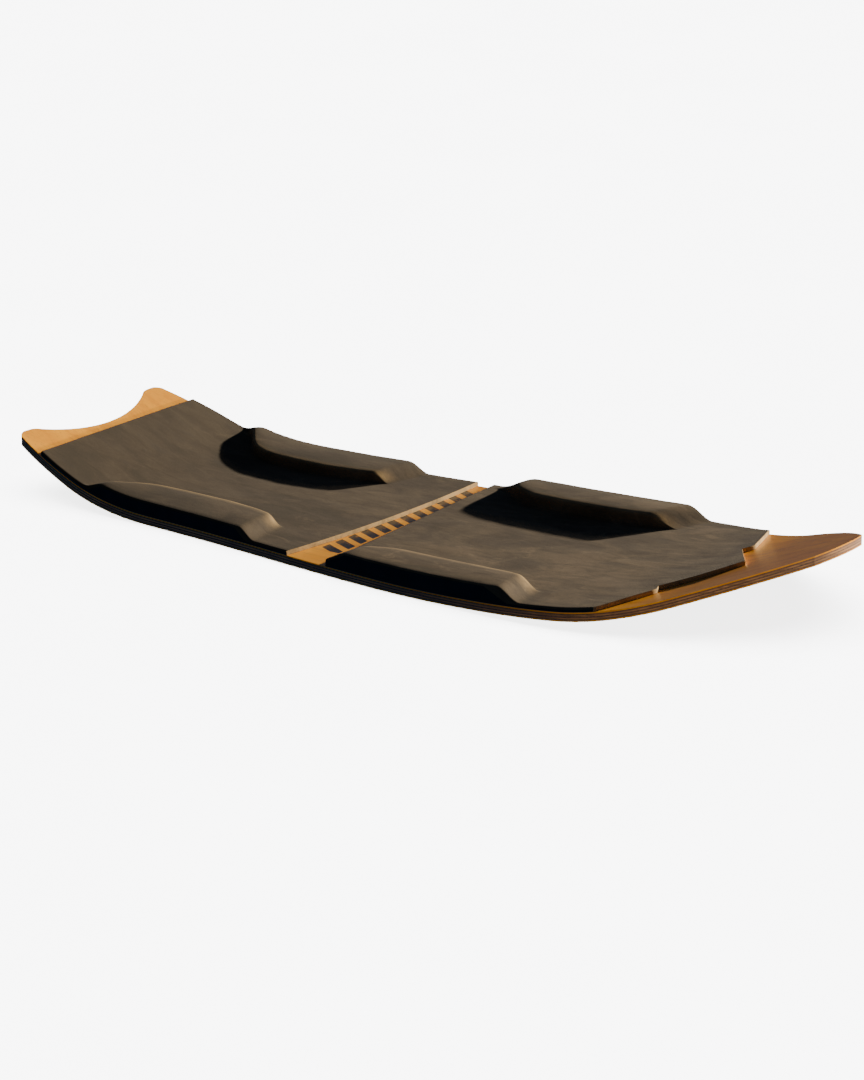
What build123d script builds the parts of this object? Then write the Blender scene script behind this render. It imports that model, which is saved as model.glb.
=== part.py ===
"""Twin-kick wooden wakeboard with two foam traction pads and twin fins.

Millimetres. X runs from the swallow tail (-X) to the nose (+X), Y to the rider's left, Z up.
The origin is the middle of the bounding box at its bottom, so the flat underside lies on Z = 0.
Every layer follows the same rocker: a flat middle, a gentle arc, a tighter arc and a straight kick.
"""
from build123d import *
import os
from math import cos, radians, sin, tan

# ---- board ----
BOARD_LENGTH = 1180.0
FLAT_TAIL_END = -277.0          # where the flat underside starts to rise towards the tail
FLAT_NOSE_END = 38.0            # and towards the nose
TAIL_ARCS = ((4000.0, 1.1), (410.0, 19.3))      # radius, angle in degrees
NOSE_ARCS = ((3600.0, 4.3), (510.0, 16.4))
KICK_REACH = 220.0              # straight kicks are drawn past the outline, which trims them
PLY_NAMES = ("bottom_face_veneer", "lower_cross_ply", "lower_long_ply", "core_ply",
             "upper_long_ply", "upper_cross_ply", "top_face_veneer")
PLY_THICKNESS = 1.7
BOARD_THICKNESS = PLY_THICKNESS * len(PLY_NAMES)
DRAW_WIDTH = 480.0              # wider than the board; the outline trims it
DRAW_HEIGHT = 260.0

# ---- outline, left half: the right half is its mirror image ----
RAIL_POINTS = ((-584, 143.5), (-482, 165), (-361, 168), (-60, 196), (204, 210),
               (361, 193), (433, 164), (565, 72), (582, 53))
TAIL_TIP = ((-584, 143.5), (-589, 136), (-590, 124))
NOTCH_CORNER = ((-590, 124), (-589, 113), (-584, 103))
NOTCH_DEPTH_X = -557.5          # bottom of the swallow-tail notch
NOSE_X = BOARD_LENGTH / 2

# ---- traction pads ----
ADHESIVE = 0.3
BASE_FOAM = 3.0
SKIN = 2.6
PAD_REACH = 230.0               # pads are drawn past the rails and trimmed flush with them
TAIL_PAD_REAR_X = -539.0
TAIL_PAD_FRONT = ((-113, -PAD_REACH), (-89, 0), (-94, PAD_REACH))
NOSE_PAD_REAR = ((-37, -PAD_REACH), (-68, PAD_REACH))
NOSE_PAD_FRONT = ((346, 230), (394, 108), (386, 92), (450, 0))     # left half

# ---- rail bumpers: ramp start, top start, top end, ramp end along X, and height ----
TAIL_BUMPER_STATIONS = (-452.0, -429.0, -199.0, -181.0)
TAIL_BUMPER_HEIGHT = 14.0
TAIL_BUMPER_INNER = ((-452, 166), (-431, 150), (-415, 130), (-399, 112), (-377, 102),
                     (-345, 98), (-272, 98), (-220, 106), (-181, 117))
NOSE_BUMPER_STATIONS = (-45.0, -7.0, 211.0, 245.0)
NOSE_BUMPER_HEIGHT = 18.0
NOSE_BUMPER_INNER = ((-45, 185), (-23, 172), (-3, 158), (17, 148), (38, 143),
                     (148, 145), (205, 149), (245, 156))

# ---- twin fins, under the straight part of the tail kick ----
FIN_X = -532.0
FIN_Y = 112.0
FIN_BASE = (84.0, 18.0, 3.5)    # length, width, thickness of the flange
FIN_DEPTH = 30.0
FIN_BLADE = 5.0
FIN_HOLE_SPACING = 62.0
SCREW_D = 4.9
SCREW_LENGTH = 12.0
SCREW_HEAD = (9.0, 3.0)         # diameter, height
SCREW_SOCKET = (3.0, 1.8)       # hexagon across flats, depth
FLANGE_HOLE_D = 5.4
WASHER = (10.0, 1.0)            # diameter, thickness
INSERT_D = 8.0
INSERT_BORE_D = 5.0
INSERT_PLIES = 5                # the inserts reach through this many plies
INSERT_LENGTH = INSERT_PLIES * PLY_THICKNESS


def side_point(x, z):
    """A point of the side view, in the board's middle plane."""
    return Vector(x, 0, z)


def kick_edges(start_x, direction, arcs, height):
    """The arcs and the straight kick of one end, at a height above the underside."""
    edges = []
    centre_x, centre_z = start_x, arcs[0][0]
    turned = 0.0
    radius = arcs[0][0]
    point = side_point(start_x, height)
    for new_radius, angle in arcs:
        step = radius - new_radius
        centre_x += direction * step * sin(turned)
        centre_z -= step * cos(turned)
        radius = new_radius

        def on_arc(turn):
            reach = radius - height
            return side_point(centre_x + direction * reach * sin(turn), centre_z - reach * cos(turn))

        middle, end = on_arc(turned + radians(angle) / 2), on_arc(turned + radians(angle))
        edges.append(ThreePointArc(point, middle, end))
        turned += radians(angle)
        point = end
    tip = point + Vector(direction * KICK_REACH * cos(turned), 0, KICK_REACH * sin(turned))
    edges.append(Line(point, tip))
    return edges, tip


def band(low, high):
    """A slab that follows the rocker between two heights above the underside."""
    edges = []
    tips = {}
    for height in (low, high):
        tail, tail_tip = kick_edges(FLAT_TAIL_END, -1, TAIL_ARCS, height)
        nose, nose_tip = kick_edges(FLAT_NOSE_END, 1, NOSE_ARCS, height)
        flat = Line(side_point(FLAT_TAIL_END, height), side_point(FLAT_NOSE_END, height))
        edges += tail + nose + [flat]
        tips[height] = (tail_tip, nose_tip)
    edges += [Line(tips[low][end], tips[high][end]) for end in (0, 1)]
    profile = Face(Wire(edges))
    return extrude(profile, DRAW_WIDTH / 2, both=True)


def underside_height(x, height=0.0):
    """Z of the rocker curve at X, for a curve at a height above the underside."""
    direction = 1 if x > 0 else -1
    arcs = NOSE_ARCS if x > 0 else TAIL_ARCS
    start_x = FLAT_NOSE_END if x > 0 else FLAT_TAIL_END
    run = (x - start_x) * direction
    if run <= 0:
        return height
    centre_run, centre_z, turned, radius = 0.0, arcs[0][0], 0.0, arcs[0][0]
    for new_radius, angle in arcs:
        centre_run += (radius - new_radius) * sin(turned)
        centre_z -= (radius - new_radius) * cos(turned)
        radius = new_radius
        turned += radians(angle)
        reach = radius - height
        if run <= centre_run + reach * sin(turned):
            return centre_z - (reach ** 2 - (run - centre_run) ** 2) ** 0.5
    end_run, end_z = centre_run + reach * sin(turned), centre_z - reach * cos(turned)
    return end_z + (run - end_run) * tan(turned)


def mirrored(points):
    return [(x, -y) for x, y in points]


def prism(face):
    """A plan shape drawn right through the board's height."""
    return extrude(Pos(0, 0, -DRAW_HEIGHT / 4) * face, DRAW_HEIGHT, dir=(0, 0, 1))


def board_outline():
    """Plan shape: curved rails, a blunt pointed nose and a swallow tail."""
    edges = [ThreePointArc(RAIL_POINTS[-1], (NOSE_X, 0), mirrored(RAIL_POINTS)[-1]),
             ThreePointArc(NOTCH_CORNER[-1], (NOTCH_DEPTH_X, 0), mirrored(NOTCH_CORNER)[-1])]
    for side in (list, mirrored):
        edges += [Spline(*side(RAIL_POINTS)), ThreePointArc(*side(TAIL_TIP)),
                  ThreePointArc(*side(NOTCH_CORNER))]
    return Face(Wire(edges))


def tail_pad_shape():
    rear = Line((TAIL_PAD_REAR_X, -PAD_REACH), (TAIL_PAD_REAR_X, PAD_REACH))
    front = ThreePointArc(*TAIL_PAD_FRONT)
    sides = [Line(rear @ 0, front @ 0), Line(rear @ 1, front @ 1)]
    return Face(Wire([rear, front] + sides))


def nose_pad_shape():
    front = mirrored(NOSE_PAD_FRONT)[:-1] + list(reversed(NOSE_PAD_FRONT))
    return make_face(Polyline(*NOSE_PAD_REAR, *reversed(front), close=True))


def bumper(stations, height, inner, side, grow=0.0):
    """A rail bumper on the base foam. grow makes the block that the skin over it fills."""
    ramp_start, top_start, top_end, ramp_end = stations
    foot = BOARD_THICKNESS + ADHESIVE + BASE_FOAM
    top = foot + height + grow
    ramp_start, ramp_end = ramp_start - 2 * grow, ramp_end + 2 * grow
    top_start, top_end = top_start - grow, top_end + grow
    ceiling = DRAW_HEIGHT
    profile = [(ramp_start, -1), (ramp_start, underside_height(ramp_start, foot)),
               (top_start, underside_height(top_start, top)), (top_start, ceiling),
               (top_end, ceiling), (top_end, underside_height(top_end, top)),
               (ramp_end, underside_height(ramp_end, foot)), (ramp_end, -1)]
    side_view = make_face(Polyline(*[side_point(*point) for point in profile], close=True))
    stretch = [-2 * grow] + [0] * (len(inner) - 2) + [2 * grow]
    edge = [(x + more, y - grow) for (x, y), more in zip(inner, stretch)]
    plan = [(edge[0][0], PAD_REACH)] + edge + [(edge[-1][0], PAD_REACH)]
    plan = [(x, side * y) for x, y in plan]
    block = band(foot, top) & extrude(side_view, DRAW_WIDTH / 2, both=True)
    return block & prism(make_face(Polyline(*plan, close=True)))


def pad_pieces(name, shape, stations, height, inner, outline):
    """Adhesive, base foam, two risers and the skin over them, all flush with the rails."""
    area = prism(shape) & outline
    levels = [BOARD_THICKNESS]
    for thickness in (ADHESIVE, BASE_FOAM, SKIN):
        levels.append(levels[-1] + thickness)
    left, right = (bumper(stations, height, inner, side) & area for side in (1, -1))
    skin = band(levels[2], levels[3]) & area
    for side in (1, -1):
        skin += bumper(stations, height, inner, side, grow=SKIN) & area
    return {name + "_adhesive": band(levels[0], levels[1]) & area,
            name + "_base_foam": band(levels[1], levels[2]) & area,
            name + "_left_riser": left,
            name + "_right_riser": right,
            name + "_skin": skin - left - right}


def fin_place(side):
    """The flat seat of one fin on the tail kick: local Z points down, away from the underside."""
    slope = sum(angle for _, angle in TAIL_ARCS)
    seat = Vector(FIN_X, side * FIN_Y, underside_height(FIN_X))
    return Plane(origin=seat, x_dir=(cos(radians(slope)), 0, -sin(radians(slope))),
                 z_dir=(-sin(radians(slope)), 0, -cos(radians(slope))))


def fin_hole_points():
    return [(-FIN_HOLE_SPACING / 2, 0), (FIN_HOLE_SPACING / 2, 0)]


def round_bar(diameter, low, high):
    """An upright cylinder between two local heights, over both fin holes."""
    return [Pos(x, y, (low + high) / 2) * Cylinder(diameter / 2, high - low)
            for x, y in fin_hole_points()]


def fin_solid():
    """Flange with a raked blade that stands between the two screws."""
    length, width, thickness = FIN_BASE
    flange = extrude(SlotOverall(length, width), thickness)
    flange = fillet(flange.faces().sort_by(Axis.Z)[-1].edges(), 1.0)
    blade_line = [Line((22, thickness - 1), (-22, thickness - 1)),
                  Spline((22, thickness - 1), (4, FIN_DEPTH * 0.62), (-16, FIN_DEPTH),
                         tangents=((-0.8, 0.6), (-0.9, 0.3))),
                  Spline((-16, FIN_DEPTH), (-23, FIN_DEPTH * 0.8), (-22, thickness - 1),
                         tangents=((-1, 0), (0.2, -1)))]
    blade = extrude(Plane.XZ * Face(Wire(blade_line)), FIN_BLADE / 2, both=True)
    body = flange + blade
    for hole in round_bar(FLANGE_HOLE_D, -1, thickness + 1):
        body -= hole
    return body


def screws_solid():
    """Socket-head screws through washer and flange into the inserts."""
    seat = FIN_BASE[2] + WASHER[1]
    head_d, head_h = SCREW_HEAD
    shanks = round_bar(SCREW_D, seat - SCREW_LENGTH, seat)
    heads = round_bar(head_d, seat, seat + head_h)
    solids = []
    for (x, y), shank, head in zip(fin_hole_points(), shanks, heads):
        head = fillet(head.faces().sort_by(Axis.Z)[-1].edges(), 0.8)
        socket = extrude(RegularPolygon(SCREW_SOCKET[0] / 2, 6, major_radius=False), SCREW_SOCKET[1])
        solids.append(shank + head - Pos(x, y, seat + head_h - SCREW_SOCKET[1]) * socket)
    return solids


def washers_solid():
    low, high = FIN_BASE[2], FIN_BASE[2] + WASHER[1]
    discs = round_bar(WASHER[0], low, high)
    return [disc - hole for disc, hole in zip(discs, round_bar(FLANGE_HOLE_D, low - 1, high + 1))]


def inserts_solid():
    shells = round_bar(INSERT_D, -INSERT_LENGTH, 0)
    return [shell - hole for shell, hole in zip(shells, round_bar(INSERT_BORE_D, -INSERT_LENGTH, 1))]


def both_sides(make):
    """The same pieces at the left and the right fin, as one group of separate solids."""
    placed = []
    for side in (1, -1):
        placed += [fin_place(side).location * piece for piece in make()]
    return Compound(placed)


def build():
    outline = prism(board_outline())
    pockets = both_sides(lambda: round_bar(INSERT_D, -INSERT_LENGTH, 1))
    pieces = {}
    for index, name in enumerate(PLY_NAMES):
        ply = band(index * PLY_THICKNESS, (index + 1) * PLY_THICKNESS) & outline
        pieces[name] = ply - pockets if index < INSERT_PLIES else ply
    pieces.update(pad_pieces("tail_pad", tail_pad_shape(), TAIL_BUMPER_STATIONS,
                             TAIL_BUMPER_HEIGHT, TAIL_BUMPER_INNER, outline))
    pieces.update(pad_pieces("nose_pad", nose_pad_shape(), NOSE_BUMPER_STATIONS,
                             NOSE_BUMPER_HEIGHT, NOSE_BUMPER_INNER, outline))
    fin = fin_solid()
    pieces["left_fin"] = fin_place(1).location * fin
    pieces["right_fin"] = fin_place(-1).location * fin
    pieces["fin_inserts"] = both_sides(inserts_solid)
    pieces["fin_washers"] = both_sides(washers_solid)
    pieces["fin_screws"] = both_sides(screws_solid)
    return pieces


os.makedirs("parts", exist_ok=True)
for node, shape in build().items():
    export_step(shape, f"parts/{node}.step")
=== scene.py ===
"""Twin-kick wooden wakeboard with two brushed foam traction pads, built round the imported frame.

Lengths in the pad code are millimetres; meshes and nodes are metres. X runs from tail to nose.
"""
from math import cos, hypot, radians, sin, tan

import bpy
from mathutils import Matrix, Vector, noise


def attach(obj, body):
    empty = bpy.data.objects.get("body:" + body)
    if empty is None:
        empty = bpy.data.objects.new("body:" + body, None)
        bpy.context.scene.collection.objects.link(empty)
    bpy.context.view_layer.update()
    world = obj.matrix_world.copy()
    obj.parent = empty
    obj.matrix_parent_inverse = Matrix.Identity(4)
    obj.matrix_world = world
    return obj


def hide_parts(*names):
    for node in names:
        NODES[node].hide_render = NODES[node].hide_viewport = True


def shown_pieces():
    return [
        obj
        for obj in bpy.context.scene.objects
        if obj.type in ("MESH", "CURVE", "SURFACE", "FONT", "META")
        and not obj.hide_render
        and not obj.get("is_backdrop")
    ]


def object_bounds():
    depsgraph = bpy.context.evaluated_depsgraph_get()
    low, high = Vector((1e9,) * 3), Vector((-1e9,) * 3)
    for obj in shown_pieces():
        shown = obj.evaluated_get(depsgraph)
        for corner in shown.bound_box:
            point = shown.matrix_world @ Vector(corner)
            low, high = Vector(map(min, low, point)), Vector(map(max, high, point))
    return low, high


bl_info = {
    "name": "Wakeboard Builder",
    "version": (1, 0, 0),
    "blender": (4, 5, 0),
    "location": "View3D > Sidebar > Wakeboard",
    "description": "Traction pads, varnished plies and studio for a wooden wakeboard",
    "category": "Object",
}

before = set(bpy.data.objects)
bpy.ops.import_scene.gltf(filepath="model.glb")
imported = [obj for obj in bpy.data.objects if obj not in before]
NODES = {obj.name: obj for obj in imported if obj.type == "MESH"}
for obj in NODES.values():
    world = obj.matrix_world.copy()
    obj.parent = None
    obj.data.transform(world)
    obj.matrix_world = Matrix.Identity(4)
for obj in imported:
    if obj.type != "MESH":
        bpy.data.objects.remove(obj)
CAD_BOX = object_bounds()
PLIES = ("bottom_face_veneer", "lower_cross_ply", "lower_long_ply", "core_ply",
         "upper_long_ply", "upper_cross_ply", "top_face_veneer")
MM = 0.001

# ---- the board's rocker, as the plies have it: each arc has a radius and an angle in degrees ----
FLAT_TAIL_END = -277.0
FLAT_NOSE_END = 38.0
TAIL_ARCS = ((4000.0, 1.1), (410.0, 19.3))
NOSE_ARCS = ((3600.0, 4.3), (510.0, 16.4))

# ---- heights above the underside: deck, base foam, risers, skin ----
PLY_THICKNESS = 1.7
DECK = len(PLIES) * PLY_THICKNESS
FOAM_FOOT = 12.2
FOAM_TOP = 15.2
SKIN_TOP = 17.8
HAIR = 0.05                     # gap between the skin's underside and the foam it lies on
THINNEST_SKIN = 0.5
RISER_MARGIN = 0.4              # how far before the riser's wall the underside clears the riser
WALL_TO_RAIL = 14.0             # least distance from a bumper's inner wall to the rail


def rocker(x, height=0.0):
    """Z of the rocker at X for a layer at a height above the underside."""
    direction = 1 if x > 0 else -1
    arcs = NOSE_ARCS if x > 0 else TAIL_ARCS
    run = (x - (FLAT_NOSE_END if x > 0 else FLAT_TAIL_END)) * direction
    if run <= 0:
        return height
    centre_run, centre_z, turned, radius = 0.0, arcs[0][0], 0.0, arcs[0][0]
    for new_radius, angle in arcs:
        centre_run += (radius - new_radius) * sin(turned)
        centre_z -= (radius - new_radius) * cos(turned)
        radius = new_radius
        turned += radians(angle)
        reach = radius - height
        if run <= centre_run + reach * sin(turned):
            return centre_z - (reach ** 2 - (run - centre_run) ** 2) ** 0.5
    return centre_z - reach * cos(turned) + (run - centre_run - reach * sin(turned)) * tan(turned)


def along(points, x):
    """Y of a line of (x, y) points at X, held level past its ends."""
    if x <= points[0][0]:
        return points[0][1]
    for (x0, y0), (x1, y1) in zip(points, points[1:]):
        if x <= x1:
            return y0 + (y1 - y0) * (x - x0) / (x1 - x0)
    return points[-1][1]


def softened(points, x, reach=8.0):
    """The same line with its corners rounded off over a short reach."""
    steps = (-1.0, -0.5, 0.0, 0.5, 1.0)
    return sum(along(points, x + step * reach) for step in steps) / len(steps)


def ease(value):
    """Smooth step from 0 to 1, level past both."""
    value = min(max(value, 0.0), 1.0)
    return value * value * (3 - 2 * value)


def arc_x(points, y):
    """X at Y on the circle through three points, near the middle one."""
    (x0, y0), (x1, y1), (x2, y2) = points
    a, b, c, d = x0 - x1, y0 - y1, x2 - x1, y2 - y1
    e, f = (a * (x0 + x1) + b * (y0 + y1)) / 2, (c * (x2 + x1) + d * (y2 + y1)) / 2
    det = a * d - b * c
    cx, cy = (d * e - b * f) / det, (a * f - c * e) / det
    radius = hypot(x1 - cx, y1 - cy)
    root = (radius ** 2 - (y - cy) ** 2) ** 0.5
    return cx + root if x1 > cx else cx - root


class Pad:
    """What the tail pad and the nose pad differ in."""

    def __init__(self, name, rear, front, half_front, fade, stations, height, inner, tail_ramp,
                 left_ramp, right_ramp):
        self.name = name
        self.rear, self.front, self.half_front = rear, front, half_front
        self.fade_rear, self.fade_front = fade
        self.stations, self.height, self.inner = stations, height, inner
        self.tail_ramp, self.left_ramp, self.right_ramp = tail_ramp, left_ramp, right_ramp

    def rear_x(self, y):
        return along(self.rear, y)

    def front_x(self, y):
        if self.half_front:
            return along(self.front, abs(y))
        return arc_x(self.front, y)

    def riser(self, x, y):
        """Height of the foam riser over the base foam: straight ramps and an upright wall."""
        start, top_start, top_end, end = self.stations
        if abs(y) < softened(self.inner, x) - RISER_MARGIN:
            return 0.0
        ramp = min((x - start) / (top_start - start), (end - x) / (end - top_end), 1.0)
        return self.height * max(ramp, 0.0)

    def wall(self, x, rail):
        """Where the skin's inner wall stands; it stays clear of the rail past the bumper's ends."""
        return min(softened(self.inner, x), rail - WALL_TO_RAIL)

    def rise(self, x, y, lateral):
        """Share of the bumper's height that the skin reaches; lateral is 0 at the wall."""
        start, top_start = self.tail_ramp
        inner_top, inner_end, rail_top, rail_end = self.left_ramp if y > 0 else self.right_ramp
        top_end = inner_top + (rail_top - inner_top) * lateral
        end = inner_end + (rail_end - inner_end) * lateral
        return ease((x - start) / (top_start - start)) * ease((end - x) / (end - top_end))


# rear is a line of (y, x) points. With half_front, front is one too, mirrored over the middle
# plane; otherwise it is three (x, y) points of an arc. fade is the X where the rows stop bending
# to the rear end and the X where they start bending to the front end. stations are the X of a
# riser's foot, top, top and foot, and inner is the line of (x, y) points of its inner wall.
# tail_ramp is the X of the skin's foot and top at the tail end; left_ramp and right_ramp are the X
# of its top and foot at the nose end, first at the inner wall and then at the rail.
TAIL_PAD = Pad(
    "tail_pad",
    rear=((-230.0, -539.0), (230.0, -539.0)),
    front=((-113.0, -230.0), (-89.0, 0.0), (-94.0, 230.0)),
    half_front=False,
    fade=(-515.0, -160.0),
    stations=(-452.0, -429.0, -199.0, -181.0),
    height=14.0,
    inner=((-452, 166), (-431, 150), (-415, 130), (-399, 112), (-377, 102),
           (-345, 98), (-272, 98), (-220, 106), (-181, 117)),
    tail_ramp=(-463.0, -423.0),
    left_ramp=(-202.0, -178.0, -194.0, -162.0),
    right_ramp=(-199.0, -172.0, -192.0, -164.0))
NOSE_PAD = Pad(
    "nose_pad",
    rear=((-230.0, -37.0), (230.0, -68.0)),
    front=((0.0, 450.0), (91.8, 386.0), (107.1, 394.0), (230.0, 346.0)),
    half_front=True,
    fade=(25.0, 270.0),
    stations=(-45.0, -7.0, 211.0, 245.0),
    height=18.0,
    inner=((-45, 185), (-23, 172), (-3, 158), (17, 148), (38, 143),
           (148, 145), (205, 149), (245, 156), (267, 160)),
    tail_ramp=(-55.0, 0.0),
    left_ramp=(205.0, 250.0, 227.0, 267.0),
    right_ramp=(221.0, 258.0, 230.0, 264.0))

# across a bumper's inner wall: distance from the riser's wall, share of the height
WALL = ((-7.0, 0.0), (-5.0, 0.03), (-3.9, 0.10), (-3.2, 0.26), (-2.8, 0.48), (-2.5, 0.70),
        (-1.9, 0.855), (-0.8, 0.93), (-0.05, 0.955), (1.6, 0.98), (4.0, 1.0))
CREST_STEPS = 9                 # steps across a bumper's top, from the wall's crest to the rail
# at the rail: distance inside it, drop
RAIL = ((0.0, 1.25), (0.4, 0.6), (1.2, 0.18), (2.6, 0.0))
RAIL_SLUMP = 0.5                # how far a bumper's top sinks towards the rail
# over the pad's ends: distance past the end, drop
LIP = ((0.15, 0.35), (0.6, 1.3), (0.8, 2.4), (0.8, SKIN_TOP - FOAM_FOOT - HAIR))
LIP_INSIDE = 0.12               # how far past the pad's end the lip's inner side stands
LIP_LEVELS = (FOAM_TOP + HAIR, FOAM_TOP - 0.6, FOAM_TOP - 1.8, FOAM_FOOT + HAIR)
# the skin's unevenness: length and width of its waves, and its share of the ripple
SLOW_WAVES = (55.0, 42.0, 1.0)
FINE_WAVES = (17.0, 15.0, 0.35)
SLOW_SEEDS = {"tail_pad": 7.7, "nose_pad": 3.1}
FINE_SEED = 11.3


# ---------------------------------------------------------------- properties
class WAKEBOARD_PG_pads(bpy.types.PropertyGroup):
    row_step: bpy.props.FloatProperty(
        name="Row step", description="Distance between rows of the pad mesh", default=0.003,
        min=0.001, max=0.01, unit="LENGTH")
    middle_columns: bpy.props.IntProperty(
        name="Middle columns", description="Columns from the middle to the bumper wall",
        default=20, min=4, max=60)
    crown: bpy.props.FloatProperty(
        name="Crown", description="How far a bumper's top bulges between its edges",
        default=0.0009, min=0.0, max=0.004, unit="LENGTH")
    ripple: bpy.props.FloatProperty(
        name="Ripple", description="Height of the slow unevenness of the glued skin",
        default=0.00035, min=0.0, max=0.002, unit="LENGTH")
    colour: bpy.props.FloatVectorProperty(
        name="Skin colour", description="Brushed foam skin", subtype="COLOR", size=4,
        default=(0.044, 0.030, 0.0145, 1.0), min=0.0, max=1.0)
    # the pale mottle and scuffs are the skin's own tone; brushed_skin adds painted light falloff to
    # their share towards the nose
    worn_colour: bpy.props.FloatVectorProperty(
        name="Worn colour", description="Skin where it is rubbed pale", subtype="COLOR", size=4,
        default=(0.168, 0.116, 0.059, 1.0), min=0.0, max=1.0)
    # painted highlight colour: the lit cream of crests, nose-end ramps and the skin's cut ends
    painted_highlight_colour: bpy.props.FloatVectorProperty(
        name="Painted highlight colour", description="Crests and cut ends of the skin",
        subtype="COLOR", size=4, default=(0.52, 0.325, 0.12, 1.0), min=0.0, max=1.0)
    foam_colour: bpy.props.FloatVectorProperty(
        name="Foam colour", description="Cut foam under the skin", subtype="COLOR", size=4,
        default=(0.006, 0.008, 0.013, 1.0), min=0.0, max=1.0)


class WAKEBOARD_PG_wood(bpy.types.PropertyGroup):
    colour: bpy.props.FloatVectorProperty(
        name="Veneer colour", description="Golden face veneer", subtype="COLOR", size=4,
        default=(0.95, 0.39, 0.010, 1.0), min=0.0, max=1.0)
    dark_colour: bpy.props.FloatVectorProperty(
        name="Grain colour", description="Darker grain lines", subtype="COLOR", size=4,
        default=(0.78, 0.29, 0.008, 1.0), min=0.0, max=1.0)
    cross_colour: bpy.props.FloatVectorProperty(
        name="Cross ply colour", description="End grain of the crossing plies",
        subtype="COLOR", size=4, default=(0.26, 0.11, 0.042, 1.0), min=0.0, max=1.0)
    gloss: bpy.props.FloatProperty(
        name="Varnish roughness", description="Roughness of the varnish", default=0.22,
        min=0.0, max=1.0, subtype="FACTOR")


class WAKEBOARD_PG_stage(bpy.types.PropertyGroup):
    key_power: bpy.props.FloatProperty(
        name="Key power", description="Strength of the low light behind the board",
        default=12.5, min=0.0, max=1000.0)
    floor_power: bpy.props.FloatProperty(
        name="Floor light power", description="Strength of the floor's own light", default=15.0,
        min=0.0, max=100.0)
    world_strength: bpy.props.FloatProperty(
        name="World strength", description="Even light from all round", default=0.10,
        min=0.0, max=10.0)


# ---------------------------------------------------------------- node helpers
# the colour sockets of a Mix node, whose names are shared with its other kinds of socket
MIX_FIRST, MIX_SECOND, MIX_RESULT = 6, 7, 2


class Mixer:
    """A material's node tree, with short calls for the nodes that the finishes share."""

    def __init__(self, name):
        self.material = bpy.data.materials.new(name)
        self.material.use_nodes = True
        self.tree = self.material.node_tree
        self.tree.nodes.clear()
        out = self.add("ShaderNodeOutputMaterial")
        self.shader = self.add("ShaderNodeBsdfPrincipled")
        self.join(self.shader.outputs["BSDF"], out.inputs["Surface"])
        self.place = self.add("ShaderNodeTexCoord").outputs["Object"]

    def add(self, kind, **settings):
        node = self.tree.nodes.new(kind)
        for key, value in settings.items():
            setattr(node, key, value)
        return node

    def join(self, source, target):
        self.tree.links.new(source, target)

    def feed(self, node, key, value):
        if isinstance(value, bpy.types.NodeSocket):
            self.join(value, node.inputs[key])
        else:
            node.inputs[key].default_value = value

    def set(self, **values):
        for key, value in values.items():
            self.feed(self.shader, key.replace("_", " "), value)

    def scaled(self, scale):
        node = self.add("ShaderNodeMapping")
        node.inputs["Scale"].default_value = scale
        self.join(self.place, node.inputs["Vector"])
        return node.outputs["Vector"]

    def noise(self, scale, detail=4.0, roughness=0.55, stretch=(1.0, 1.0, 1.0), distortion=0.0):
        node = self.add("ShaderNodeTexNoise")
        for key, value in (("Scale", scale), ("Detail", detail), ("Roughness", roughness),
                           ("Distortion", distortion)):
            node.inputs[key].default_value = value
        self.join(self.scaled(stretch), node.inputs["Vector"])
        return node.outputs["Fac"]

    def ramp(self, source, low, high, start=0.0, end=1.0):
        """Smooth ramp from start to end as the source goes from low to high."""
        node = self.add("ShaderNodeMapRange", interpolation_type="SMOOTHSTEP")
        for key, value in (("Value", source), ("From Min", low), ("From Max", high),
                           ("To Min", start), ("To Max", end)):
            self.feed(node, key, value)
        return node.outputs["Result"]

    def line(self, source, slope, offset):
        """source * slope + offset"""
        node = self.add("ShaderNodeMath", operation="MULTIPLY_ADD")
        for key, value in enumerate((source, slope, offset)):
            self.feed(node, key, value)
        return node.outputs[0]

    def maths(self, operation, first, second=0.0):
        node = self.add("ShaderNodeMath", operation=operation)
        self.feed(node, 0, first)
        self.feed(node, 1, second)
        return node.outputs[0]

    def blend(self, share, first, second):
        """A colour between the first and the second."""
        node = self.add("ShaderNodeMix", data_type="RGBA")
        self.feed(node, "Factor", share)
        self.feed(node, MIX_FIRST, first)
        self.feed(node, MIX_SECOND, second)
        return node.outputs[MIX_RESULT]

    def bump(self, height, distance, strength=1.0, below=None):
        node = self.add("ShaderNodeBump")
        node.inputs["Distance"].default_value = distance
        node.inputs["Strength"].default_value = strength
        self.join(height, node.inputs["Height"])
        if below is not None:
            self.join(below, node.inputs["Normal"])
        return node.outputs["Normal"]

    def axes(self):
        node = self.add("ShaderNodeSeparateXYZ")
        self.join(self.place, node.inputs[0])
        return node.outputs


def dress(node_name, material):
    """Gives a CAD node its finish without touching its mesh."""
    node = NODES[node_name]
    node.data.materials.clear()
    node.data.materials.append(material)


# ---------------------------------------------------------------- finishes
WARM_PATCHES = (0.74, 0.27, 0.008, 1.0)
WOOD_PORES = (0.36, 0.17, 0.03, 1.0)
BAR_INK = (0.012, 0.010, 0.008, 1.0)
LONG_PLY = (0.50, 0.25, 0.09, 1.0)
END_GRAIN_SHADE = 0.45
SKIN_STROKES = (0.040, 0.030, 0.019, 1.0)
SKIN_FLECKS = (0.020, 0.015, 0.010, 1.0)
FOAM_MOTTLE = (0.012, 0.014, 0.020, 1.0)
FILM_PALE = (0.16, 0.12, 0.07, 1.0)
FILM_DARK = (0.09, 0.065, 0.04, 1.0)
NYLON_DARK = (0.012, 0.012, 0.013, 1.0)
NYLON_PALE = (0.022, 0.022, 0.023, 1.0)
STEEL = (0.56, 0.56, 0.55, 1.0)
BRASS = (0.62, 0.42, 0.16, 1.0)
STAIN_SHADE = 0.6

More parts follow.
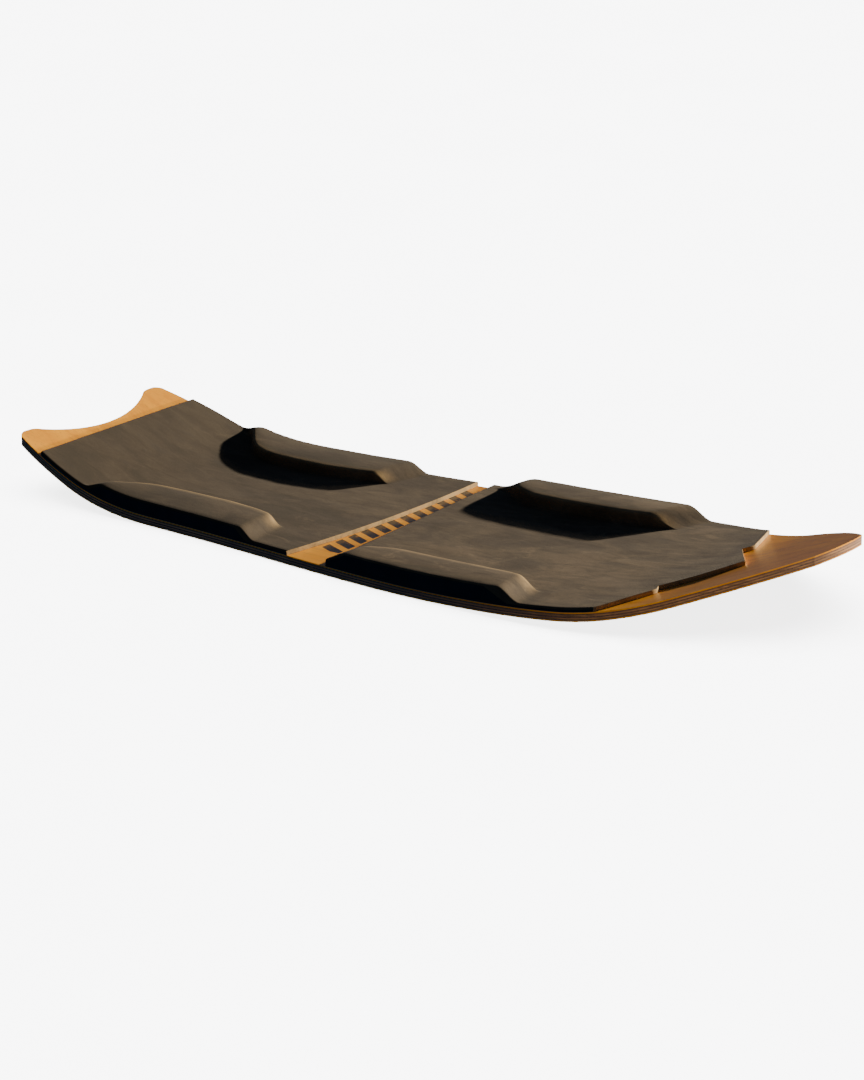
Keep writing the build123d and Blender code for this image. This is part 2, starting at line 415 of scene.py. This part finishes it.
# the row of bars on the bare strip, in metres: it runs askew and narrows towards the left rail
ROW_X = -0.0775
ROW_SKEW = -0.0125
ROW_HALF_WIDTH = 0.0135
ROW_TAPER = -0.022
ROW_RIGHT_END = -0.146
ROW_LEFT_END = 0.173
BARS_PER_METRE = 38.0
BAR_SLANT = 0.45
SIDE_BLUR = 0.0004
END_BLUR = 0.0005


def shaded(colour, share):
    """The same colour, darkened to a share of its brightness."""
    return tuple(channel * share for channel in colour[:3]) + (1.0,)


def varnished_veneer(wood, name, marked):
    """Golden veneer with long grain under clear varnish; marked adds the deck's row of bars."""
    mix = Mixer(name)
    broad = mix.noise(7.0, detail=3.0, roughness=0.5, stretch=(0.28, 1.6, 1.0), distortion=0.5)
    lines = mix.noise(62.0, detail=5.0, roughness=0.62, stretch=(0.035, 1.0, 1.0), distortion=0.25)
    pores = mix.noise(520.0, detail=2.0, roughness=0.5, stretch=(0.03, 1.0, 1.0))
    colour = mix.blend(mix.ramp(lines, 0.42, 0.66), tuple(wood.colour), tuple(wood.dark_colour))
    colour = mix.blend(mix.ramp(broad, 0.35, 0.7, 0.0, 0.5), colour, WARM_PATCHES)
    colour = mix.blend(mix.ramp(pores, 0.55, 0.72, 0.0, 0.35), colour, WOOD_PORES)
    if marked:
        colour = mix.blend(deck_bars(mix), colour, BAR_INK)
    mix.set(Base_Color=colour, Roughness=0.42, IOR=1.5)
    mix.set(Coat_Weight=0.5, Coat_Roughness=wood.gloss, Coat_IOR=1.5)
    mix.set(Normal=mix.bump(lines, 0.00008, 0.6))
    return mix.material


def deck_bars(mix):
    """A generic row of slanted bars across the bare strip between the pads."""
    x, y, _ = mix.axes()
    across = mix.maths("ABSOLUTE", mix.maths("SUBTRACT", x, mix.line(y, ROW_SKEW, ROW_X)))
    outside = mix.maths("SUBTRACT", across, mix.line(y, ROW_TAPER, ROW_HALF_WIDTH))
    slant = mix.maths("ADD", y, mix.maths("MULTIPLY", x, BAR_SLANT))
    beat = mix.maths("FRACT", mix.maths("MULTIPLY", slant, BARS_PER_METRE))
    from_bar = mix.maths("ABSOLUTE", mix.maths("SUBTRACT", beat, 0.5))
    wear = mix.noise(90.0, detail=4.0, roughness=0.6)
    mask = mix.ramp(outside, -SIDE_BLUR, SIDE_BLUR, 1, 0)
    for part in (mix.ramp(from_bar, 0.27, 0.31, 1, 0),
                 mix.ramp(y, ROW_RIGHT_END, ROW_RIGHT_END + END_BLUR),
                 mix.ramp(y, ROW_LEFT_END - END_BLUR, ROW_LEFT_END, 1, 0),
                 mix.ramp(wear, 0.3, 0.42, 0.72, 1.0)):
        mask = mix.maths("MULTIPLY", mask, part)
    return mask


def ply_edge(wood, name, crossing):
    """Cut edge of an inner ply: dark end grain where the grain crosses, warm side grain along."""
    mix = Mixer(name)
    base = tuple(wood.cross_colour) if crossing else LONG_PLY
    stretch = (1.0, 1.0, 1.0) if crossing else (0.05, 0.05, 1.0)
    fibres = mix.noise(420.0, detail=4.0, roughness=0.6, stretch=stretch)
    patches = mix.noise(26.0, detail=3.0, roughness=0.5)
    dark = shaded(base, END_GRAIN_SHADE)
    colour = mix.blend(mix.ramp(fibres, 0.38, 0.68), base, dark)
    colour = mix.blend(mix.ramp(patches, 0.4, 0.7, 0.0, 0.5), colour, dark)
    mix.set(Base_Color=colour, Roughness=0.5, Coat_Weight=0.5, Coat_Roughness=0.3)
    mix.set(Normal=mix.bump(fibres, 0.00006, 0.5))
    return mix.material


def brushed_skin(pads):
    """Suede-like foam skin: mottled and finely napped, with a painted highlight on its crests,
    nose-end ramps and cut ends, and painted light that makes it paler towards the nose.
    """
    mix = Mixer("brushed_foam_skin")
    clouds = mix.noise(9.0, detail=5.0, roughness=0.6, stretch=(0.8, 1.3, 1.0), distortion=0.8)
    strokes = mix.noise(34.0, detail=4.0, roughness=0.62, stretch=(0.45, 1.5, 1.0), distortion=0.6)
    nap = mix.noise(900.0, detail=3.0, roughness=0.7)
    flecks = mix.noise(2600.0, detail=1.0, roughness=0.5)
    scuffs = mix.noise(16.0, detail=8.0, roughness=0.68, stretch=(0.7, 1.2, 1.0), distortion=1.4)
    pale = mix.maths("MULTIPLY", mix.ramp(clouds, 0.36, 0.62, 0.25, 1.0),
                     mix.ramp(strokes, 0.3, 0.7, 0.4, 1.0))
    pale = mix.maths("ADD", pale, mix.ramp(scuffs, 0.55, 0.72, 0.0, 0.6))
    # painted light: the pale share grows from the tail towards the nose, standing in for the key
    # light's falloff
    painted_falloff = mix.ramp(mix.axes()[0], -0.56, 0.25, 0.30, 1.0)
    pale = mix.maths("MULTIPLY", pale, painted_falloff)
    colour = mix.blend(pale, tuple(pads.colour), tuple(pads.worn_colour))
    colour = mix.blend(mix.ramp(strokes, 0.52, 0.72, 0.0, 0.35), colour, SKIN_STROKES)
    colour = mix.blend(mix.ramp(flecks, 0.45, 0.7, 0.0, 0.25), colour, SKIN_FLECKS)
    # painted highlight: the lit crests, nose-end ramps and lips, broken up by the strokes
    rub = mix.add("ShaderNodeAttribute", attribute_name="rub").outputs["Fac"]
    patchy = mix.maths("MULTIPLY", rub, mix.ramp(strokes, 0.25, 0.6, 0.45, 1.0))
    colour = mix.blend(mix.maths("MULTIPLY", patchy, 0.85), colour, tuple(pads.painted_highlight_colour))
    mix.set(Base_Color=colour, Roughness=0.88, Specular_IOR_Level=0.15)
    mix.set(Sheen_Weight=0.03, Sheen_Roughness=0.45, Sheen_Tint=(0.9, 0.8, 0.66, 1.0))
    soft = mix.bump(strokes, 0.0008, 0.35)
    mix.set(Normal=mix.bump(nap, 0.00025, 0.6, soft))
    return mix.material


def cut_foam(pads):
    """Closed-cell foam, cut clean at the rail: blue-black with tiny cut cells."""
    mix = Mixer("cut_dark_foam")
    cells = mix.add("ShaderNodeTexVoronoi", feature="F1")
    cells.inputs["Scale"].default_value = 900.0
    mix.join(mix.place, cells.inputs["Vector"])
    mottle = mix.noise(40.0, detail=4.0, roughness=0.6)
    colour = mix.blend(mix.ramp(mottle, 0.35, 0.7), tuple(pads.foam_colour), FOAM_MOTTLE)
    mix.set(Base_Color=colour, Roughness=0.82, Specular_IOR_Level=0.3)
    mix.set(Normal=mix.bump(cells.outputs["Distance"], 0.0002, 0.5))
    return mix.material


def adhesive_film():
    """Brownish double-sided film with faint streaks."""
    mix = Mixer("adhesive_film")
    streaks = mix.noise(160.0, detail=3.0, roughness=0.5)
    colour = mix.blend(mix.ramp(streaks, 0.35, 0.7), FILM_PALE, FILM_DARK)
    mix.set(Base_Color=colour, Roughness=0.35, Coat_Weight=0.3, Coat_Roughness=0.2)
    return mix.material


def moulded_nylon():
    """Black fibre-filled nylon with a fine sparked surface and faint flow marks."""
    mix = Mixer("moulded_nylon")
    grain = mix.noise(1500.0, detail=3.0, roughness=0.6)
    flow = mix.noise(24.0, detail=3.0, roughness=0.5, stretch=(0.4, 1.0, 2.0), distortion=1.0)
    colour = mix.blend(mix.ramp(flow, 0.35, 0.7), NYLON_DARK, NYLON_PALE)
    mix.set(Base_Color=colour, Roughness=mix.ramp(flow, 0.3, 0.7, 0.34, 0.5))
    mix.set(Normal=mix.bump(grain, 0.00005, 0.5))
    return mix.material


def turned_metal(name, colour, roughness):
    """Machined metal with turning marks and slight stains."""
    mix = Mixer(name)
    marks = mix.noise(2200.0, detail=2.0, roughness=0.6)
    stains = mix.noise(160.0, detail=4.0, roughness=0.6)
    dull = shaded(colour, STAIN_SHADE)
    mix.set(Base_Color=mix.blend(mix.ramp(stains, 0.5, 0.75), colour, dull), Metallic=1.0)
    mix.set(Roughness=mix.ramp(stains, 0.3, 0.7, roughness, roughness + 0.15))
    mix.set(Normal=mix.bump(marks, 0.00003, 0.5))
    return mix.material


# ---------------------------------------------------------------- pad geometry
RAIL_SURVEY = (-540, 460, 4)    # first X, end and step of the half-width survey
ANY_PLACE = (0.0, 200.0)        # an X and a half width at which the columns can be counted
END_ROUNDS = 12
# where the skin gets its painted highlight: a band along the crest, and a patch on the ramp at the
# nose end
CREST_INSIDE = 1.0
CREST_REACH = 5.0
CREST_HIGHLIGHT = 0.55
ENDING_FADE = 2.5
ENDING_FOOT = -4.0
ENDING_BLUR = 3.0
RAMP_HIGHLIGHT = 0.45
SMOOTH_ANGLE = 50


def rail_table():
    """(x, half width) along the board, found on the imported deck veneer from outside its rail."""
    deck = NODES["top_face_veneer"]
    table = []
    for x in range(*RAIL_SURVEY):
        height = rocker(x, DECK - PLY_THICKNESS / 2) * MM
        outside = Vector((x * MM, 2 * CAD_BOX[1][1], height))
        hit, place, _, _ = deck.ray_cast(outside, Vector((0, -1, 0)))
        if not hit:
            raise RuntimeError("the deck veneer has no rail at %g mm" % x)
        table.append((x, place.y / MM))
    return table


def column_places(pad, settings, x, rail):
    """Distances from the middle plane across half the pad: middle, wall, bumper top, rail."""
    wall = pad.wall(x, rail)
    count = settings.middle_columns
    foot = wall + WALL[0][0]
    places = [foot * step / count for step in range(count)]
    places += [wall + offset for offset, _ in WALL]
    crest, edge = wall + WALL[-1][0], rail - RAIL[-1][0]
    places += [crest + (edge - crest) * step / CREST_STEPS for step in range(1, CREST_STEPS)]
    places += [rail - inside for inside, _ in reversed(RAIL)]
    return places


def share_across(y, wall, rail):
    """0 at a bumper's inner wall, 1 at the rail."""
    return min(max((abs(y) - wall) / (rail - wall), 0.0), 1.0)


def waves(pad, x, y):
    """Slow and fine unevenness of the glued skin, within about 1 either way."""
    total = 0.0
    for (length, width, share), seed in ((SLOW_WAVES, SLOW_SEEDS[pad.name]),
                                         (FINE_WAVES, FINE_SEED)):
        total += share * noise.noise(Vector((x / length, y / width, seed)))
    return total


def skin_height(pad, settings, x, y, rail):
    """Height of the skin above the underside at a point of the pad."""
    wall = softened(pad.inner, x)
    share = along(WALL, abs(y) - wall)
    lateral = share_across(y, wall, rail)
    crown = 4 * lateral * (1 - lateral) * settings.crown / MM
    rise = pad.rise(x, y, lateral)
    height = SKIN_TOP + (pad.height + crown) * rise * share
    height -= RAIL_SLUMP * rise * lateral ** 2
    height += waves(pad, x, y) * settings.ripple / MM
    return height - along(RAIL, rail - abs(y))


class Column:
    """One line of skin points from the pad's rear to its front, at a set place across it."""

    def __init__(self, pad, settings, rails, number):
        self.pad, self.settings, self.rails = pad, settings, rails
        self.side = -1 if number < 0 else 1
        self.index = abs(number)

    def y(self, x):
        places = column_places(self.pad, self.settings, x, along(self.rails, x))
        return self.side * places[self.index]

    def end(self, edge, x):
        """X where the column meets a cut end; the two depend on each other, so it is iterated."""
        for _ in range(END_ROUNDS):
            x = edge(self.y(x))
        return x

    def stations(self, rear, front, nominal):
        """The nominal X places, shifted near the ends so that the column meets the cut ends."""
        pad = self.pad
        rear_shift = self.end(pad.rear_x, rear) - rear
        front_shift = self.end(pad.front_x, front) - front
        for x in nominal:
            if x < pad.fade_rear:
                yield x + rear_shift * ease((pad.fade_rear - x) / (pad.fade_rear - rear))
            elif x > pad.fade_front:
                yield x + front_shift * ease((x - pad.fade_front) / (front - pad.fade_front))
            else:
                yield x


def pad_mesh(pad, settings):
    """The skin as a closed shell: every column is a loop over the top, round the lips and back."""
    rails = rail_table()
    rear, front = pad.rear_x(0), pad.front_x(0)
    lengths = int(round((front - rear) / (settings.row_step / MM)))
    nominal = [rear + (front - rear) * index / lengths for index in range(lengths + 1)]
    half = len(column_places(pad, settings, *ANY_PLACE))
    # every lip gets the full painted highlight; rubbed collects each column's painted highlight
    # shares
    lips = [1.0] * len(LIP)
    loops, rubbed = [], []
    for number in range(-half + 1, half):
        column = Column(pad, settings, rails, number)
        top, bottom, rub = [], [], []
        for x in column.stations(rear, front, nominal):
            y, rail = column.y(x), along(rails, x)
            height = skin_height(pad, settings, x, y, rail)
            floor = min(FOAM_TOP + HAIR + pad.riser(x, y), height - THINNEST_SKIN)
            top.append((x, y, rocker(x, height)))
            bottom.append((x, y, rocker(x, floor)))
            rub.append(painted_crest_highlight(pad, x, y, rail))
        loops.append(with_lips(top, bottom))
        rubbed.append(lips + rub + lips)
    return loops, rubbed


def painted_crest_highlight(pad, x, y, rail):
    """Share of painted highlight on the skin: along a bumper's crest and over the ramp at its nose
    end.
    """
    wall = pad.wall(x, rail)
    lateral = share_across(y, wall, rail)
    rise = pad.rise(x, y, lateral)
    inside = abs(y) - wall
    crest = max(0.0, 1 - abs(inside - CREST_INSIDE) / CREST_REACH) * rise
    ending = 0.0
    if x >= pad.stations[1]:
        ending = 4 * rise * (1 - rise) * ease(1 - ENDING_FADE * lateral)
        ending *= ease((inside - ENDING_FOOT) / ENDING_BLUR)
    return min(1.0, CREST_HIGHLIGHT * crest + RAMP_HIGHLIGHT * ending)


def with_lips(top, bottom):
    """Adds the wrapped-down lips to both ends of a column's upper and lower rows."""
    upper, lower = list(top), list(bottom)
    for end, way in ((0, -1), (-1, 1)):
        x, y, _ = top[end]
        upper_lip = [(x + way * out, y, rocker(x + way * out, SKIN_TOP - drop))
                     for out, drop in LIP]
        inner = x + way * LIP_INSIDE
        lower_lip = [(inner, y, rocker(inner, level)) for level in LIP_LEVELS]
        if way > 0:
            upper += upper_lip
            lower += lower_lip
        else:
            upper = upper_lip[::-1] + upper
            lower = lower_lip[::-1] + lower
    return upper, lower


def shell_faces(columns, rows):
    """Faces between neighbouring columns' rings of points, and a cap at both rails."""
    faces = []
    ring = 2 * rows
    for column in range(columns - 1):
        for row in range(ring):
            following = (row + 1) % ring
            a, b = column * ring + row, column * ring + following
            faces.append((a, b, b + ring, a + ring))
    for column, flip in ((0, True), (columns - 1, False)):
        start = column * ring
        for row in range(rows - 1):
            far = start + ring - 1 - row
            quad = (start + row, start + row + 1, far - 1, far)
            faces.append(quad[::-1] if flip else quad)
    return faces


def shell_object(name, loops, rubbed):
    """One closed mesh from the columns' upper and lower rows."""
    vertices, highlight_shares = [], []
    for (upper, lower), values in zip(loops, rubbed):
        vertices += [tuple(value * MM for value in point) for point in upper + lower[::-1]]
        highlight_shares += values + values[::-1]
    mesh = bpy.data.meshes.new(name)
    mesh.from_pydata(vertices, [], shell_faces(len(loops), len(loops[0][0])))
    # the painted highlight shares go on as a point attribute that the skin's finish reads
    mesh.attributes.new("rub", "FLOAT", "POINT").data.foreach_set("value", highlight_shares)
    obj = bpy.data.objects.new(name, mesh)
    bpy.context.scene.collection.objects.link(obj)
    bpy.ops.object.select_all(action="DESELECT")
    obj.select_set(True)
    bpy.context.view_layer.objects.active = obj
    bpy.ops.object.mode_set(mode="EDIT")
    bpy.ops.mesh.select_all(action="SELECT")
    bpy.ops.mesh.normals_make_consistent(inside=False)
    bpy.ops.object.mode_set(mode="OBJECT")
    bpy.ops.object.shade_smooth_by_angle(angle=radians(SMOOTH_ANGLE))
    return obj


def build_pad(pad, settings, material):
    """The padded skin that stands for a pad's plain CAD skin."""
    skin = shell_object(pad.name + "_brushed_skin", *pad_mesh(pad, settings))
    skin.data.materials.append(material)
    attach(skin, "root")
    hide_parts(pad.name + "_skin")


# ---------------------------------------------------------------- operators
class WAKEBOARD_OT_wood(bpy.types.Operator):
    """Varnishes the face veneers and finishes the cut edges of the inner plies"""
    bl_idname = "wakeboard.wood"
    bl_label = "Plies"

    def execute(self, context):
        wood = context.scene.wakeboard_wood
        dress("top_face_veneer", varnished_veneer(wood, "varnished_deck_veneer", True))
        dress("bottom_face_veneer", varnished_veneer(wood, "varnished_base_veneer", False))
        cross = ply_edge(wood, "cross_ply_edge", True)
        long = ply_edge(wood, "long_ply_edge", False)
        for name in ("lower_cross_ply", "core_ply", "upper_cross_ply"):
            dress(name, cross)
        for name in ("lower_long_ply", "upper_long_ply"):
            dress(name, long)
        return {"FINISHED"}


class WAKEBOARD_OT_pads(bpy.types.Operator):
    """Builds the two padded skins and finishes the foam and adhesive under them"""
    bl_idname = "wakeboard.pads"
    bl_label = "Traction pads"

    def execute(self, context):
        settings = context.scene.wakeboard_pads
        skin, foam, film = brushed_skin(settings), cut_foam(settings), adhesive_film()
        for pad in (TAIL_PAD, NOSE_PAD):
            build_pad(pad, settings, skin)
            for part in ("_base_foam", "_left_riser", "_right_riser"):
                dress(pad.name + part, foam)
            dress(pad.name + "_adhesive", film)
        return {"FINISHED"}


class WAKEBOARD_OT_fins(bpy.types.Operator):
    """Finishes the fins and their screws, washers and inserts"""
    bl_idname = "wakeboard.fins"
    bl_label = "Fins and fasteners"

    def execute(self, context):
        nylon = moulded_nylon()
        for name in ("left_fin", "right_fin"):
            dress(name, nylon)
        steel = turned_metal("stainless_steel", STEEL, 0.24)
        dress("fin_screws", steel)
        dress("fin_washers", steel)
        dress("fin_inserts", turned_metal("insert_brass", BRASS, 0.3))
        return {"FINISHED"}


class WAKEBOARD_OT_stage(bpy.types.Operator):
    """Lays a pale floor and sets the lights and the camera"""
    bl_idname = "wakeboard.stage"
    bl_label = "Stage"

    def execute(self, context):
        stage = context.scene.wakeboard_stage
        set_lights(stage, lay_floor())
        set_world(context.scene, stage)
        set_camera(context.scene)
        return {"FINISHED"}


# ---------------------------------------------------------------- stage
# places in metres, angles in degrees, lens and sensor in millimetres
WHITE = (1.0, 1.0, 1.0)
ORIGIN = (0.0, 0.0, 0.0)
FLOOR_SIZE = 60.0
FLOOR_DROP = 0.001              # how far the floor lies under the board
FLOOR_SHADES = ((0.86, 0.86, 0.86, 1.0), (0.88, 0.88, 0.88, 1.0))
WORLD_COLOUR = (0.30, 0.50, 1.0, 1.0)
KEY_DIRECTION = (0.303, 0.934, 0.19)
KEY_DISTANCE = 6.0
KEY_ANGLE = 1.4
WARM_LIGHT = (1.0, 0.93, 0.82)
GLOW_PLACE = (1.0, 1.7, 0.36)
GLOW_TARGET = (0.3, 0.0, 0.04)
GLOW_POWER = 14.0
GLOW_SIZE = 0.25
SIDE_PLACE = (5.0, -0.2, 0.26)
SIDE_COLOUR = (1.0, 0.9, 0.75)
SIDE_POWER = 2.3
SIDE_ANGLE = 3.0
OVERHEAD = (0.0, 0.0, 5.0)
OVERHEAD_ANGLE = 80.0
CAMERA_TARGET = (-0.0224, 0.0, -0.0007)
CAMERA_DISTANCE = 6.273
CAMERA_BEARING = 36.714         # degrees from -Y towards +X
CAMERA_ELEVATION = 17.419
CAMERA_ROLL = -0.182
CAMERA_LENS = 164.9
SENSOR_HEIGHT = 36.0


def lay_floor():
    """A pale floor just under the board."""
    bpy.ops.object.select_all(action="DESELECT")
    bpy.ops.mesh.primitive_grid_add(x_subdivisions=4, y_subdivisions=4, size=FLOOR_SIZE,
                                    location=(0.0, 0.0, -FLOOR_DROP))
    floor = bpy.context.active_object
    floor.name = "floor"
    bpy.ops.object.transform_apply(location=True, rotation=True, scale=True)
    floor.visible_diffuse = False
    floor.visible_glossy = False
    mix = Mixer("pale_floor")
    grain = mix.noise(3.0, detail=2.0, roughness=0.5)
    mix.set(Base_Color=mix.blend(mix.ramp(grain, 0.3, 0.7), *FLOOR_SHADES))
    mix.set(Roughness=0.9, Specular_IOR_Level=0.1)
    floor.data.materials.append(mix.material)
    floor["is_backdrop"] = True
    return floor


def add_light(name, kind, place, target, energy, colour):
    """A light at a place, pointed at a target."""
    light = bpy.data.lights.new(name, kind)
    light.energy = energy
    light.color = colour
    obj = bpy.data.objects.new(name, light)
    bpy.context.scene.collection.objects.link(obj)
    toward = Vector(target) - Vector(place)
    turn = toward.to_track_quat("-Z", "Y").to_matrix().to_4x4()
    obj.matrix_world = Matrix.Translation(place) @ turn
    return obj


def light_only(name, receivers, lights):
    """Makes some lights shine on the given objects and on nothing else."""
    lit = bpy.data.collections.new(name)
    for receiver in receivers:
        lit.objects.link(receiver)
    for light in lights:
        light.light_linking.receiver_collection = lit


def set_lights(stage, floor):
    """Low lights behind the board and beyond its nose, and the floor's own light from above."""
    key_place = Vector(KEY_DIRECTION).normalized() * KEY_DISTANCE
    key = add_light("low_key", "SUN", key_place, ORIGIN, stage.key_power, WARM_LIGHT)
    key.data.angle = radians(KEY_ANGLE)
    glow = add_light("nose_glow", "AREA", GLOW_PLACE, GLOW_TARGET, GLOW_POWER, WARM_LIGHT)
    glow.data.size = GLOW_SIZE
    side = add_light("nose_side", "SUN", SIDE_PLACE, ORIGIN, SIDE_POWER, SIDE_COLOUR)
    side.data.angle = radians(SIDE_ANGLE)
    overhead = add_light("floor_light", "SUN", OVERHEAD, ORIGIN, stage.floor_power, WHITE)
    overhead.data.angle = radians(OVERHEAD_ANGLE)
    wash = add_light("floor_wash", "SUN", OVERHEAD, ORIGIN, stage.floor_power, WHITE)
    wash.data.use_shadow = False
    light_only("lit_board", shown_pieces(), (key, glow))
    light_only("lit_floor", (floor,), (overhead, wash))
    light_only("lit_plies", [NODES[name] for name in PLIES], (side,))


def set_world(scene, stage):
    """Even bluish light from all round."""
    world = bpy.data.worlds.new("studio")
    scene.world = world
    world.use_nodes = True
    background = world.node_tree.nodes["Background"]
    background.inputs["Color"].default_value = WORLD_COLOUR
    background.inputs["Strength"].default_value = stage.world_strength


def set_camera(scene):
    """A long lens that looks down on the board from its right side and nose."""
    data = bpy.data.cameras.new("camera")
    camera = bpy.data.objects.new("camera", data)
    scene.collection.objects.link(camera)
    turn = Matrix.Rotation(radians(CAMERA_BEARING), 4, "Z")
    turn = turn @ Matrix.Rotation(radians(90.0 - CAMERA_ELEVATION), 4, "X")
    turn = turn @ Matrix.Rotation(radians(CAMERA_ROLL), 4, "Z")
    back = Matrix.Translation((0.0, 0.0, CAMERA_DISTANCE))
    camera.matrix_world = Matrix.Translation(CAMERA_TARGET) @ turn @ back
    data.sensor_fit = "VERTICAL"
    data.sensor_height = SENSOR_HEIGHT
    data.lens = CAMERA_LENS
    scene.camera = camera


# ---------------------------------------------------------------- panel
class WAKEBOARD_PT_panel(bpy.types.Panel):
    """Wakeboard operators and settings"""
    bl_label = "Wakeboard"
    bl_idname = "WAKEBOARD_PT_panel"
    bl_space_type = "VIEW_3D"
    bl_region_type = "UI"
    bl_category = "Wakeboard"

    def draw(self, context):
        for operator, group in PANEL_ROWS:
            box = self.layout.box()
            box.operator(operator.bl_idname, text=operator.bl_label)
            if group:
                settings = getattr(context.scene, group)
                for name in settings.__annotations__:
                    box.prop(settings, name)


PANEL_ROWS = ((WAKEBOARD_OT_wood, "wakeboard_wood"), (WAKEBOARD_OT_pads, "wakeboard_pads"),
              (WAKEBOARD_OT_fins, None), (WAKEBOARD_OT_stage, "wakeboard_stage"))
GROUPS = {"wakeboard_wood": WAKEBOARD_PG_wood, "wakeboard_pads": WAKEBOARD_PG_pads,
          "wakeboard_stage": WAKEBOARD_PG_stage}
CLASSES = tuple(GROUPS.values()) + tuple(row[0] for row in PANEL_ROWS) + (WAKEBOARD_PT_panel,)


def register():
    for cls in CLASSES:
        bpy.utils.register_class(cls)
    for name, group in GROUPS.items():
        setattr(bpy.types.Scene, name, bpy.props.PointerProperty(type=group))


def unregister():
    for name in GROUPS:
        delattr(bpy.types.Scene, name)
    for cls in reversed(CLASSES):
        bpy.utils.unregister_class(cls)


def main():
    register()
    bpy.ops.wakeboard.wood()
    bpy.ops.wakeboard.pads()
    bpy.ops.wakeboard.fins()
    bpy.ops.wakeboard.stage()
    boxes = (CAD_BOX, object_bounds())
    sizes = [[[float(value) for value in corner] for corner in box] for box in boxes]


if __name__ == "__main__":
    main()
